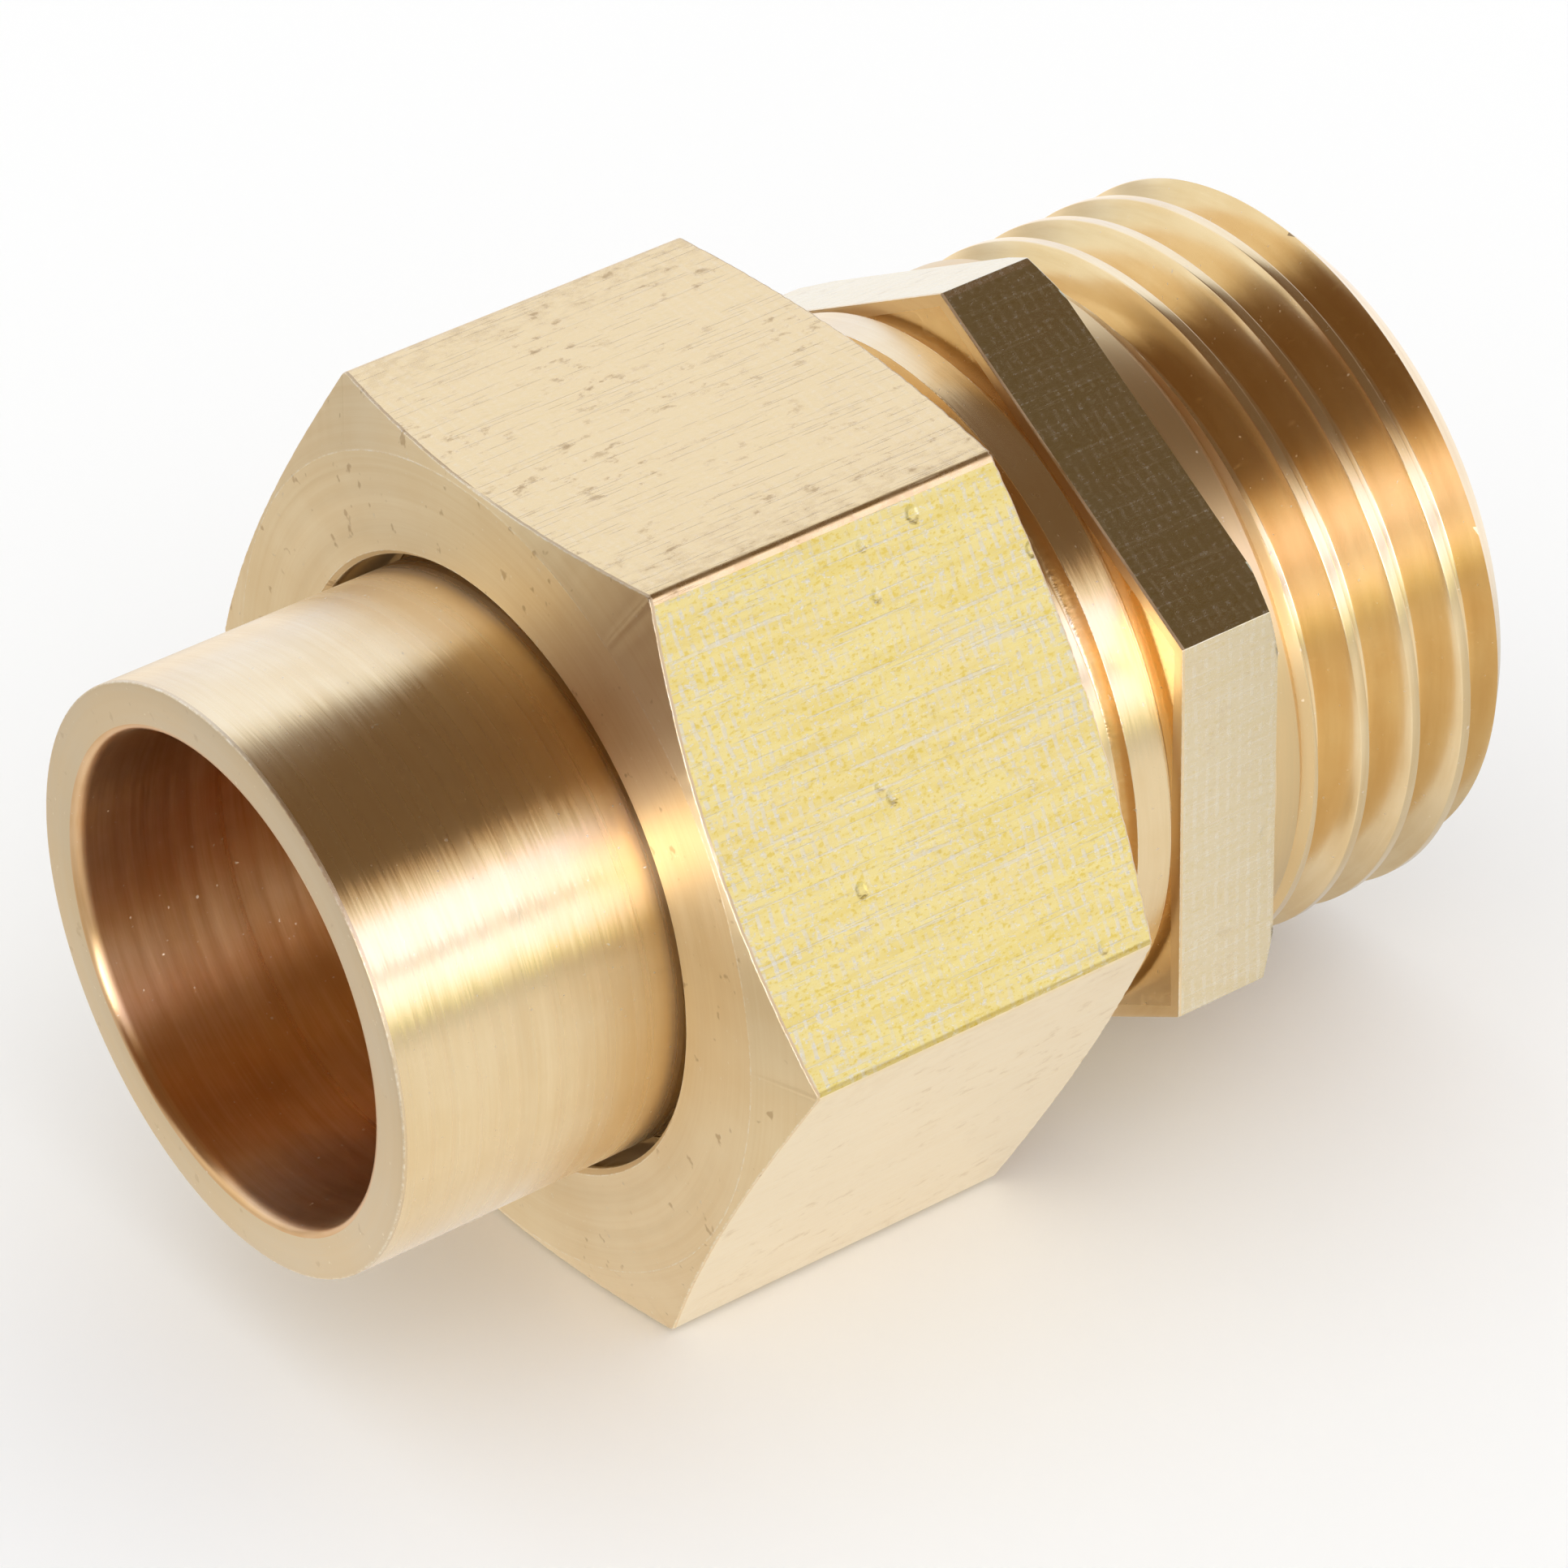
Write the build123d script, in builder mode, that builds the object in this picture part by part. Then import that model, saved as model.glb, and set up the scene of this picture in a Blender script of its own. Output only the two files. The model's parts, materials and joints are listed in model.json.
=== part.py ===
from build123d import *
from math import cos, radians, tan
import os

# Straight two-piece pipe union in brass: solder socket tailpiece to male pipe thread, drawn
# together by a hexagonal union nut.
# The pipe axis is X. The origin is on that axis in the collar's rear face, where the male pipe
# thread starts. +X points out of the pipe thread and +Z is square to the nut's upper flat.

# ---- G 1/2 parallel pipe thread, used for both threads of the body --------------------------
thread_pitch = 25.4 / 14
thread_crest_r = 20.955 / 2
thread_depth = 1.162
thread_root_r = thread_crest_r - thread_depth
flank_slope = tan(radians(27.5))
crest_flat = thread_pitch / 6
groove_overshoot = 0.2
helix_start_angle = 90
blank_excess = 2 * thread_pitch

# ---- both hexagons, and how far a cutting outline runs past the surface it cuts --------------
hexagon_sides = 6
half_side_angle = 30
cutter_excess = 1.0

# ---- threaded body --------------------------------------------------------------------------
waterway_r = 7.0
body_tip_x = -12.19
tip_chamfer = 1.0
relief_start_x = -5.25
relief_end_x = -4.75
relief_depth = 0.55
relief_floor = 0.2
land_end_x = -3.6
neck_r = 10.1
collar_flats = 21.0
collar_first_corner = 30
collar_front_x = -3.3
collar_overlap = 1.5
collar_corner_chamfer = 0.3
plain_land_length = 0.88
runout_width = 0.52
runout_depth = 0.25
thread_end_x = 9.0
end_chamfer = 1.1
pipe_crest_x = 3.0
pipe_crest_angle = 139.4
pipe_groove_start_x = 1.2
union_crest_x = -5.4
union_crest_angle = 155.0
bore_edge_break = 0.3

# ---- union nut ------------------------------------------------------------------------------
nut_flats = 24.0
nut_first_corner = 0
nut_front_x = -18.75
nut_rear_x = -6.4
nut_edge_fillet = 0.25
nut_face_r = 11.85
front_bevel = 0.7
rear_bevel = 0.55
nut_eye_r = 8.86
nut_wall = 2.45
eye_edge_break = 0.15
nut_minor_r = 9.45
nut_root_r = 10.6
nut_thread_play = 0.08
nut_thread_start_x = -13.2
nut_mouth_chamfer = 1.2

# ---- solder tailpiece -----------------------------------------------------------------------
tail_end_x = -27.4
tail_outer_r = 8.5
socket_r = 7.05
socket_depth = 10.6
socket_lead_in = 0.25
tail_waterway_r = 6.25
flange_r = 9.3
flange_thickness = 2.5
seat_gap = 0.03

# ---- sealing washer -------------------------------------------------------------------------
washer_outer_r = 9.2
washer_inner_r = 6.5
washer_thickness = 1.5

flange_front_x = nut_front_x + nut_wall + seat_gap
flange_face_x = flange_front_x + flange_thickness
washer_front_x = flange_face_x + seat_gap
washer_rear_x = washer_front_x + washer_thickness


def turned(points, mode=Mode.ADD):
    """Turn a closed outline of (x, r) points round the pipe axis."""
    with BuildSketch(Plane.XZ) as profile:
        with BuildLine():
            Polyline(*points, close=True)
        make_face()
    revolve(profile.sketch, axis=Axis.X, mode=mode)


def cut_thread(ridge_x, ridge_angle, start_x, end_x, outline):
    """Cut a right-hand helical groove whose middle runs from start_x to end_x.

    The ridge beside the groove passes ridge_x at ridge_angle, in degrees round the axis from +Y
    towards +Z. The outline holds (radius, half width) pairs across one side of the groove.
    """
    groove_x = ridge_x - thread_pitch / 2
    start_angle = ridge_angle + 360 * (start_x - groove_x) / thread_pitch
    spiral = Helix(
        pitch=thread_pitch,
        height=end_x - start_x,
        radius=thread_crest_r,
        center=(start_x, 0, 0),
        direction=(1, 0, 0),
        mode=Mode.PRIVATE,
    )
    path = spiral.rotate(Axis.X, start_angle - helix_start_angle)
    start = path @ 0
    outward = Vector(0, start.Y, start.Z).normalized()
    with BuildSketch(Plane(start, x_dir=outward, z_dir=path % 0)) as profile:
        with BuildLine():
            one_side = [(radius - thread_crest_r, half) for radius, half in outline]
            other_side = [(height, -half) for height, half in reversed(one_side)]
            Polyline(*one_side, *other_side, close=True)
        make_face()
    sweep(profile.sketch, path=path, is_frenet=True, mode=Mode.SUBTRACT)


def hexagon_bar(flats, front_x, rear_x, first_corner):
    """Add a hexagonal bar along the pipe axis, with one corner at the given angle."""
    with BuildSketch(Plane.YZ.offset(front_x)) as section:
        RegularPolygon(flats / 2, hexagon_sides, major_radius=False, rotation=first_corner)
    extrude(section.sketch, amount=rear_x - front_x)


def corner_radius(flats):
    """Radius out to the corners of a hexagon of the given size across its flats."""
    return flats / 2 / cos(radians(half_side_angle))


def external_groove():
    """Outline of the groove of an outside thread, from past the crest down to the root."""
    root_half = crest_flat / 2
    mouth_r = thread_crest_r + groove_overshoot
    mouth_half = root_half + (mouth_r - thread_root_r) * flank_slope
    return [(mouth_r, mouth_half), (thread_root_r, root_half)]


def plug_groove():
    """Outline of the groove of the plug that shapes the nut's thread, with play on each flank."""
    tip_half = thread_pitch / 2 - crest_flat / 2 - nut_thread_play
    mouth_r = nut_root_r + groove_overshoot
    mouth_half = tip_half + (mouth_r - thread_crest_r) * flank_slope
    root_half = tip_half + (nut_minor_r - thread_crest_r) * flank_slope
    return [(mouth_r, mouth_half), (nut_minor_r, root_half)]


# ---- union stud: the body's end inside the nut, with its relief groove, land and neck -------
with BuildPart() as union_stud:
    turned(
        [
            (body_tip_x - blank_excess, 0),
            (body_tip_x - blank_excess, thread_crest_r),
            (collar_front_x + collar_overlap, thread_crest_r),
            (collar_front_x + collar_overlap, 0),
        ]
    )
    cut_thread(
        union_crest_x,
        union_crest_angle,
        body_tip_x - thread_pitch,
        relief_start_x - crest_flat,
        external_groove(),
    )
    relief_middle_x = (relief_start_x + relief_end_x) / 2
    turned(
        [
            (body_tip_x, 0),
            (body_tip_x, thread_crest_r - tip_chamfer),
            (body_tip_x + tip_chamfer + cutter_excess, thread_crest_r + cutter_excess),
            (relief_start_x, thread_crest_r + cutter_excess),
            (relief_start_x, thread_crest_r),
            (relief_middle_x - relief_floor / 2, thread_crest_r - relief_depth),
            (relief_middle_x + relief_floor / 2, thread_crest_r - relief_depth),
            (relief_end_x, thread_crest_r),
            (relief_end_x, thread_crest_r + cutter_excess),
            (land_end_x, thread_crest_r + cutter_excess),
            (land_end_x, neck_r),
            (collar_front_x + collar_overlap / 2, neck_r),
            (collar_front_x + collar_overlap / 2, 0),
        ],
        mode=Mode.INTERSECT,
    )

# ---- pipe stud: plain land behind the collar, then the male pipe thread ---------------------
with BuildPart() as pipe_stud:
    turned(
        [
            (-collar_overlap, 0),
            (-collar_overlap, thread_crest_r),
            (thread_end_x + blank_excess, thread_crest_r),
            (thread_end_x + blank_excess, 0),
        ]
    )
    cut_thread(
        pipe_crest_x,
        pipe_crest_angle,
        pipe_groove_start_x,
        thread_end_x + thread_pitch,
        external_groove(),
    )
    turned(
        [
            (-collar_overlap / 2, 0),
            (-collar_overlap / 2, thread_crest_r + cutter_excess),
            (plain_land_length, thread_crest_r + cutter_excess),
            (plain_land_length, thread_crest_r),
            (plain_land_length + runout_width / 2, thread_crest_r - runout_depth),
            (plain_land_length + runout_width, thread_crest_r),
            (plain_land_length + runout_width, thread_crest_r + cutter_excess),
            (thread_end_x - end_chamfer - cutter_excess, thread_crest_r + cutter_excess),
            (thread_end_x, thread_crest_r - end_chamfer),
            (thread_end_x, 0),
        ],
        mode=Mode.INTERSECT,
    )

# ---- threaded body: hexagonal collar between its two threaded studs, bored through ----------
with BuildPart() as threaded_body:
    hexagon_bar(collar_flats, collar_front_x, 0, collar_first_corner)
    turned(
        [
            (collar_front_x, 0),
            (collar_front_x, corner_radius(collar_flats)),
            (-collar_corner_chamfer, corner_radius(collar_flats)),
            (0, corner_radius(collar_flats) - 2 * collar_corner_chamfer),
            (0, 0),
        ],
        mode=Mode.INTERSECT,
    )
    add(union_stud.part)
    add(pipe_stud.part)
    with Locations(Plane.YZ.offset(thread_end_x)):
        Hole(waterway_r, depth=thread_end_x - body_tip_x)
    circles = edges().filter_by(GeomType.CIRCLE)
    chamfer(circles.group_by(SortBy.RADIUS)[0], bore_edge_break)
threaded_body.part.label = "threaded_body"

# ---- thread plug: the space inside the nut, taken out of it below ---------------------------
with BuildPart() as thread_plug:
    turned(
        [
            (nut_front_x + nut_wall, 0),
            (nut_front_x + nut_wall, nut_root_r),
            (nut_rear_x + thread_pitch + blank_excess, nut_root_r),
            (nut_rear_x + thread_pitch + blank_excess, 0),
        ]
    )
    cut_thread(
        union_crest_x,
        union_crest_angle,
        nut_thread_start_x,
        nut_rear_x + blank_excess,
        plug_groove(),
    )

# ---- union nut: hexagon, eye for the tailpiece, inside shoulder and union thread ------------
with BuildPart() as union_nut:
    hexagon_bar(nut_flats, nut_front_x, nut_rear_x, nut_first_corner)
    fillet(edges().filter_by(Axis.X), nut_edge_fillet)
    turned(
        [
            (nut_front_x, 0),
            (nut_front_x, nut_face_r),
            (nut_front_x + front_bevel, corner_radius(nut_flats)),
            (nut_rear_x - rear_bevel, corner_radius(nut_flats)),
            (nut_rear_x, nut_face_r),
            (nut_rear_x, 0),
        ],
        mode=Mode.INTERSECT,
    )
    add(thread_plug.part, mode=Mode.SUBTRACT)
    turned(
        [
            (nut_front_x - cutter_excess, 0),
            (nut_front_x - cutter_excess, nut_eye_r + eye_edge_break + cutter_excess),
            (nut_front_x + eye_edge_break, nut_eye_r),
            (nut_front_x + nut_wall + cutter_excess, nut_eye_r),
            (nut_front_x + nut_wall + cutter_excess, 0),
        ],
        mode=Mode.SUBTRACT,
    )
    turned(
        [
            (nut_rear_x - nut_mouth_chamfer - cutter_excess, 0),
            (nut_rear_x - nut_mouth_chamfer - cutter_excess, nut_minor_r - cutter_excess),
            (nut_rear_x + cutter_excess, nut_minor_r + nut_mouth_chamfer + cutter_excess),
            (nut_rear_x + cutter_excess, 0),
        ],
        mode=Mode.SUBTRACT,
    )
union_nut.part.label = "union_nut"

# ---- solder tailpiece: tube with a stopped socket and a retained flange ---------------------
with BuildPart() as solder_tailpiece:
    turned(
        [
            (tail_end_x, socket_r + socket_lead_in),
            (tail_end_x, tail_outer_r),
            (flange_front_x, tail_outer_r),
            (flange_front_x, flange_r),
            (flange_face_x, flange_r),
            (flange_face_x, tail_waterway_r),
            (tail_end_x + socket_depth, tail_waterway_r),
            (tail_end_x + socket_depth, socket_r),
            (tail_end_x + socket_lead_in, socket_r),
        ]
    )
solder_tailpiece.part.label = "solder_tailpiece"

# ---- sealing washer: flat ring between the flange and the body's end ------------------------
with BuildPart() as sealing_washer:
    turned(
        [
            (washer_front_x, washer_inner_r),
            (washer_front_x, washer_outer_r),
            (washer_rear_x, washer_outer_r),
            (washer_rear_x, washer_inner_r),
        ]
    )
sealing_washer.part.label = "sealing_washer"

os.makedirs("parts", exist_ok=True)
export_step(threaded_body.part, "parts/threaded_body.step")
export_step(union_nut.part, "parts/union_nut.step")
export_step(solder_tailpiece.part, "parts/solder_tailpiece.step")
export_step(sealing_washer.part, "parts/sealing_washer.step")
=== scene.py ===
import json
import math

import bmesh
import bpy
import numpy as np
from mathutils import Matrix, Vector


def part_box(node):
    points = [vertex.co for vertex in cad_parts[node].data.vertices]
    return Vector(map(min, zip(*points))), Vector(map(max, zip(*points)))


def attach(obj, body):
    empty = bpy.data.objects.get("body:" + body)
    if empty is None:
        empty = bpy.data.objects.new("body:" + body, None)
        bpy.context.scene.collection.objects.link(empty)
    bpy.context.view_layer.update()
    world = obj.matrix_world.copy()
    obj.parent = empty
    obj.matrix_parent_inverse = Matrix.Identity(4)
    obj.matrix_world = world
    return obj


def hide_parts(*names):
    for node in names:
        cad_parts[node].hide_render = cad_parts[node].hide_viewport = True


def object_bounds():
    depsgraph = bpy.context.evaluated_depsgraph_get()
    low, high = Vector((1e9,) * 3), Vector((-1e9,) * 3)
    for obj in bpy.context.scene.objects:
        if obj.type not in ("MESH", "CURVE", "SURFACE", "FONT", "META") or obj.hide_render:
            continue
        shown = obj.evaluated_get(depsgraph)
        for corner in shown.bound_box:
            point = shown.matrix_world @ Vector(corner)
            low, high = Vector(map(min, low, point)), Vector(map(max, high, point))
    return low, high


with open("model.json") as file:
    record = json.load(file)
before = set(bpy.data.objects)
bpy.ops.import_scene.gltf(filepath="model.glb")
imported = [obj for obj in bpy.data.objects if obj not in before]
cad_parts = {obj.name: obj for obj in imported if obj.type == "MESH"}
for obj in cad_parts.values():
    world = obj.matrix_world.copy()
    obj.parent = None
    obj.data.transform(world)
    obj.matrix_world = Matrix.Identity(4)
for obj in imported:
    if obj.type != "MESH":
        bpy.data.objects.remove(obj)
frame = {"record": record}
cad_box = [list(corner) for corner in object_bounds()]

MM = 0.001
mounts = {m["name"]: m for m in frame["record"]["mounts"]}


def node_span(node):
    """Lowest and highest x of a CAD node, in millimetres."""
    low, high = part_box(node)
    return low[0] / MM, high[0] / MM


# ---- sizes in millimetres, in the CAD frame: +X out of the pipe thread, +Z up --------------
PITCH = 25.4 / 14
CREST_R = mounts["pipe_thread"]["dims"]["r_mm"]
THREAD_DEPTH = 1.162
ROOT_R = CREST_R - THREAD_DEPTH
FLANK_TAN = math.tan(math.radians(27.5))
CREST_HALF = PITCH / 12

BODY_X0, BODY_X1 = node_span("threaded_body")
NUT_X0, NUT_X1 = node_span("union_nut")
TAIL_X0, FLANGE_X1 = node_span("solder_tailpiece")
WASHER_X0, WASHER_X1 = node_span("sealing_washer")
SOCKET_R = mounts["solder_socket"]["dims"]["r_mm"]

NUT_FLATS = 24.0
COLLAR_FLATS = 21.0
COLLAR_X0 = -3.3
WATERWAY_R = 7.0


def hexagon(angles, flats, corner_angle, corner_round):
    """Radius, at each angle, of a hexagon with rounded corners, and the half angle of a corner."""
    away = (angles - corner_angle + 30) % 60 - 30
    flat = flats / 2 / np.cos(np.radians(30 - np.abs(away)))
    inner = flats / 2 - corner_round
    centre = inner / math.cos(math.radians(30))
    limit = 30 - math.degrees(math.atan(inner * math.tan(math.radians(30)) / (flats / 2)))
    inside = corner_round**2 - (centre * np.sin(np.radians(away))) ** 2
    arc = centre * np.cos(np.radians(away)) + np.sqrt(np.maximum(inside, 0))
    return np.where(np.abs(away) < limit, arc, flat), limit


def fan(corner_angle, limit, flat_steps, corner_steps):
    """Angles round the axis, close together at the six corners."""
    out = []
    for side in range(6):
        corner = corner_angle + 60 * side
        out.extend(np.linspace(corner - limit, corner + limit, corner_steps, endpoint=False))
        out.extend(np.linspace(corner + limit, corner + 60 - limit, flat_steps, endpoint=False))
    return np.array(out)


def rounded(points, cuts, steps=3, hold=0.05):
    """Rings of an outline whose corners are rounded. Each point is (x, r), single or per angle.

    Beyond each rounded corner a holding ring keeps the shading of the next face flat.
    """
    points = [np.broadcast_arrays(*[np.asarray(v, float) for v in p]) for p in points]
    size = max(p[0].size for p in points)
    points = [np.stack([np.broadcast_to(v, size) for v in p], -1) for p in points]
    rings = []
    for i, (p, cut) in enumerate(zip(points, cuts)):
        if not cut or i in (0, len(points) - 1):
            rings.append((p[:, 0], p[:, 1], 0.0))
            continue
        to_last, to_next = points[i - 1] - p, points[i + 1] - p
        last_len = np.linalg.norm(to_last, axis=1, keepdims=True)
        next_len = np.linalg.norm(to_next, axis=1, keepdims=True)
        reach = np.minimum(cut, 0.45 * np.minimum(last_len, next_len))
        last_way = to_last / np.maximum(last_len, 1e-9)
        next_way = to_next / np.maximum(next_len, 1e-9)
        start, end = p + last_way * reach, p + next_way * reach
        if hold:
            q = p + last_way * np.minimum(cut + hold, 0.48 * last_len)
            rings.append((q[:, 0], q[:, 1], 0.0))
        for f in np.linspace(0, 1, steps + 1):
            q = (1 - f) ** 2 * start + 2 * f * (1 - f) * p + f**2 * end
            rings.append((q[:, 0], q[:, 1], (reach[:, 0] > 0.005) * float(0 < f < 1)))
        if hold:
            q = p + next_way * np.minimum(cut + hold, 0.48 * next_len)
            rings.append((q[:, 0], q[:, 1], 0.0))
    return rings


def thread_profile(crest, root, crest_half, crest_cut, root_cut):
    """One pitch of a thread from ridge centre to ridge centre: offsets and radii."""
    flank = abs(crest - root) * FLANK_TAN
    points = [
        (-PITCH / 2, root),
        (-crest_half - flank, root),
        (-crest_half - flank / 2, (crest + root) / 2),
        (-crest_half, crest),
        (0, crest),
        (crest_half, crest),
        (crest_half + flank / 2, (crest + root) / 2),
        (crest_half + flank, root),
        (PITCH / 2, root),
    ]
    cuts = [0, root_cut, 0, crest_cut, 0, crest_cut, 0, root_cut, 0]
    rings = rounded(points, cuts, 4, hold=0)
    offsets = np.array([x[0] for x, r, w in rings])
    radii = np.array([r[0] for x, r, w in rings])
    fine_u, fine_r = [], []
    for a in range(len(offsets) - 1):
        steps = max(1, int((offsets[a + 1] - offsets[a]) / 0.09))
        fine_u.extend(np.linspace(offsets[a], offsets[a + 1], steps, endpoint=False))
        fine_r.extend(np.linspace(radii[a], radii[a + 1], steps, endpoint=False))
    return np.array(fine_u), np.array(fine_r)


class Thread:
    """A right-hand thread whose ridge passes ridge_x at ridge_angle."""

    def __init__(self, profile, ridge_x, ridge_angle, fade):
        self.offsets, self.radii = profile
        self.ridge_x, self.ridge_angle, self.fade = ridge_x, ridge_angle, fade

    def radius(self, x, angle):
        shift = self.ridge_x + PITCH * (angle - self.ridge_angle) / 360
        turns = (x - shift) / PITCH
        offset = (turns + 0.5) % 1 * PITCH - PITCH / 2
        wrapped = np.append(self.offsets, PITCH / 2)
        r = np.interp(offset, wrapped, np.append(self.radii, self.radii[0]))
        groove_x = shift + PITCH * (np.floor(turns) + 0.5)
        return r + self.fade(groove_x)


class Skin:
    """A closed surface wound round the pipe axis, ring by ring."""

    def __init__(self, angles):
        self.angles = angles
        self.n = len(angles)
        self.x, self.r, self.a, self.wear = [], [], [], []
        self.faces, self.mats = [], []
        self.count, self.first, self.last = 0, None, None

    def add_points(self, x, r, wear):
        shape = (len(x), self.n)
        self.x.append(np.asarray(x).ravel())
        self.r.append(np.asarray(r).ravel())
        self.a.append(np.broadcast_to(self.angles, shape).ravel())
        self.wear.append(np.full(shape, wear).ravel())
        index = np.arange(self.count, self.count + shape[0] * self.n).reshape(shape)
        self.count += shape[0] * self.n
        return index

    def quads(self, lower, lower_next, upper, upper_next, mat):
        quad = np.stack([lower, lower_next, upper_next, upper], -1).reshape(-1, 4)
        self.faces.append(quad)
        self.mats.append(np.full(len(quad), mat))

    def join(self, ring, mat):
        if self.last is not None:
            self.quads(self.last, np.roll(self.last, -1), ring, np.roll(ring, -1), mat)
        else:
            self.first = ring
        self.last = ring

    def rings(self, rings, mat):
        for x, r, wear in rings:
            x = np.broadcast_to(x, self.n)[None]
            r = np.broadcast_to(r, self.n)[None]
            self.join(self.add_points(x, r, wear)[0], mat)

    def thread(self, thread, x0, x1, limit, mat):
        """Rings that follow the thread's helix from x0 to x1, cut by the limit radius."""
        per_turn = len(thread.offsets)
        start = thread.ridge_x + PITCH * (self.angles[0] - thread.ridge_angle) / 360
        low = math.floor((x0 - PITCH - start) / PITCH) - 1
        high = math.ceil((x1 - start) / PITCH) + 1
        turns = np.arange(low, high)
        u = (turns[:, None] * PITCH + thread.offsets[None]).ravel()
        drift = thread.ridge_x + PITCH * (self.angles - thread.ridge_angle) / 360
        x = np.clip(u[:, None] + drift[None], x0, x1)
        angle = np.broadcast_to(self.angles, x.shape)
        shape_r = thread.radius(x, angle)
        gap = shape_r - limit(x)
        cross = (gap[:-1] * gap[1:] < 0) & (x[1:] > x[:-1])
        rows, cols = np.nonzero(cross)
        g0, g1 = gap[rows, cols], gap[rows + 1, cols]
        part = g0 / (g0 - g1)
        at = x[rows, cols] + part * (x[rows + 1, cols] - x[rows, cols])
        inner = (x[rows, cols] > x0) & (x[rows + 1, cols] < x1)
        nearer = rows + (part > 0.5)
        x[nearer[inner], cols[inner]] = at[inner]
        shape_r = thread.radius(x, angle)
        if thread.radii[0] < thread.radii.max():
            r = np.minimum(shape_r, limit(x))
        else:
            r = np.maximum(shape_r, limit(x))
        index = self.add_points(x, r, 0.0)
        if self.last is not None:
            self.quads(self.last, np.roll(self.last, -1), index[0], np.roll(index[0], -1), mat)
        else:
            self.first = index[0]
        wrap = index[np.minimum(np.arange(len(index)) + per_turn, len(index) - 1), 0]
        following = np.concatenate([index[:, 1:], wrap[:, None]], 1)
        self.quads(index[:-1], following[:-1], index[1:], following[1:], mat)
        self.last = index[-1]

    def finish(self, name, materials, node, body, mat):
        """Close the surface, make the object and put it in place of its CAD node."""
        self.join_first(mat)
        x, r = np.concatenate(self.x) * MM, np.concatenate(self.r) * MM
        a = np.radians(np.concatenate(self.a))
        mesh = bpy.data.meshes.new(name)
        points = np.stack([x, r * np.cos(a), r * np.sin(a)], -1)
        mesh.from_pydata(points.tolist(), [], np.concatenate(self.faces).tolist())
        for material in materials:
            mesh.materials.append(material)
        mesh.polygons.foreach_set("material_index", np.concatenate(self.mats).astype(np.int32))
        mesh.attributes.new("wear", "FLOAT", "POINT").data.foreach_set(
            "value", np.concatenate(self.wear)
        )
        work = bmesh.new()
        work.from_mesh(mesh)
        bmesh.ops.remove_doubles(work, verts=work.verts, dist=2e-7)
        bmesh.ops.dissolve_degenerate(work, edges=work.edges, dist=1e-8)
        bmesh.ops.recalc_face_normals(work, faces=work.faces)
        work.to_mesh(mesh)
        work.free()
        mesh.shade_smooth()
        mesh.set_sharp_from_angle(angle=math.radians(32))
        piece = bpy.data.objects.new(name, mesh)
        bpy.context.scene.collection.objects.link(piece)
        normals = piece.modifiers.new("face_weighted_normals", "WEIGHTED_NORMAL")
        normals.keep_sharp = True
        normals.weight = 50
        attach(piece, body)
        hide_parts(node)
        return piece

    def join_first(self, mat):
        self.quads(self.last, np.roll(self.last, -1), self.first, np.roll(self.first, -1), mat)


# ---- node helpers ---------------------------------------------------------------------------
class Graph:
    """A thin wrapper that adds nodes to a tree and links sockets given as inputs."""

    def __init__(self, tree):
        self.tree = tree
        tree.nodes.clear()

    def add(self, kind, inputs=None, **settings):
        node = self.tree.nodes.new(kind)
        for key, value in settings.items():
            setattr(node, key, value)
        for key, value in (inputs or {}).items():
            if isinstance(value, bpy.types.NodeSocket):
                self.tree.links.new(value, node.inputs[key])
            else:
                node.inputs[key].default_value = value
        return node

    def math(self, operation, a, b=0.0, c=0.0):
        return self.add("ShaderNodeMath", {0: a, 1: b, 2: c}, operation=operation).outputs[0]

    def vector(self, x, y, z):
        return self.add("ShaderNodeCombineXYZ", {0: x, 1: y, 2: z}).outputs[0]

    def mix(self, factor, a, b, blend="MIX"):
        node = self.add(
            "ShaderNodeMix", {0: factor, 6: a, 7: b}, data_type="RGBA", blend_type=blend
        )
        return node.outputs[2]

    def blend(self, factor, a, b):
        return self.add("ShaderNodeMix", {0: factor, 2: a, 3: b}).outputs[0]

    def ramp(self, value, low, high, a=0.0, b=1.0, smooth=True):
        kind = "SMOOTHSTEP" if smooth else "LINEAR"
        node = self.add(
            "ShaderNodeMapRange", {0: value, 1: low, 2: high, 3: a, 4: b}, interpolation_type=kind
        )
        return node.outputs[0]

    def noise(self, vector, scale, detail=2.0, roughness=0.5):
        node = self.add(
            "ShaderNodeTexNoise",
            {"Vector": vector, "Scale": scale, "Detail": detail, "Roughness": roughness},
        )
        return node.outputs[0]

    def lines(self, value, scale, detail=2.0, roughness=0.6):
        node = self.add(
            "ShaderNodeTexNoise",
            {"W": value, "Scale": scale, "Detail": detail, "Roughness": roughness},
            noise_dimensions="1D",
        )
        return node.outputs[0]

    def colours(self, value, stops, blending="LINEAR"):
        node = self.add("ShaderNodeValToRGB", {0: value})
        band = node.color_ramp
        band.interpolation = blending
        while len(band.elements) < len(stops):
            band.elements.new(0.5)
        for element, (place, colour) in zip(band.elements, stops):
            element.position = place
        for element, (place, colour) in zip(band.elements, stops):
            element.color = (*colour, 1)
        return node.outputs[0]


def part_space(g):
    """Object coordinates in millimetres: the point, its x, y and z, and its distance from the axis.
    """
    place = g.add("ShaderNodeTexCoord").outputs["Object"]
    scaled = g.add("ShaderNodeVectorMath", {0: place, 3: 1 / MM}, operation="SCALE").outputs[0]
    split = g.add("ShaderNodeSeparateXYZ", {0: scaled})
    x, y, z = split.outputs
    r = g.math("SQRT", g.math("ADD", g.math("MULTIPLY", y, y), g.math("MULTIPLY", z, z)))
    return scaled, x, y, z, r


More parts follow.
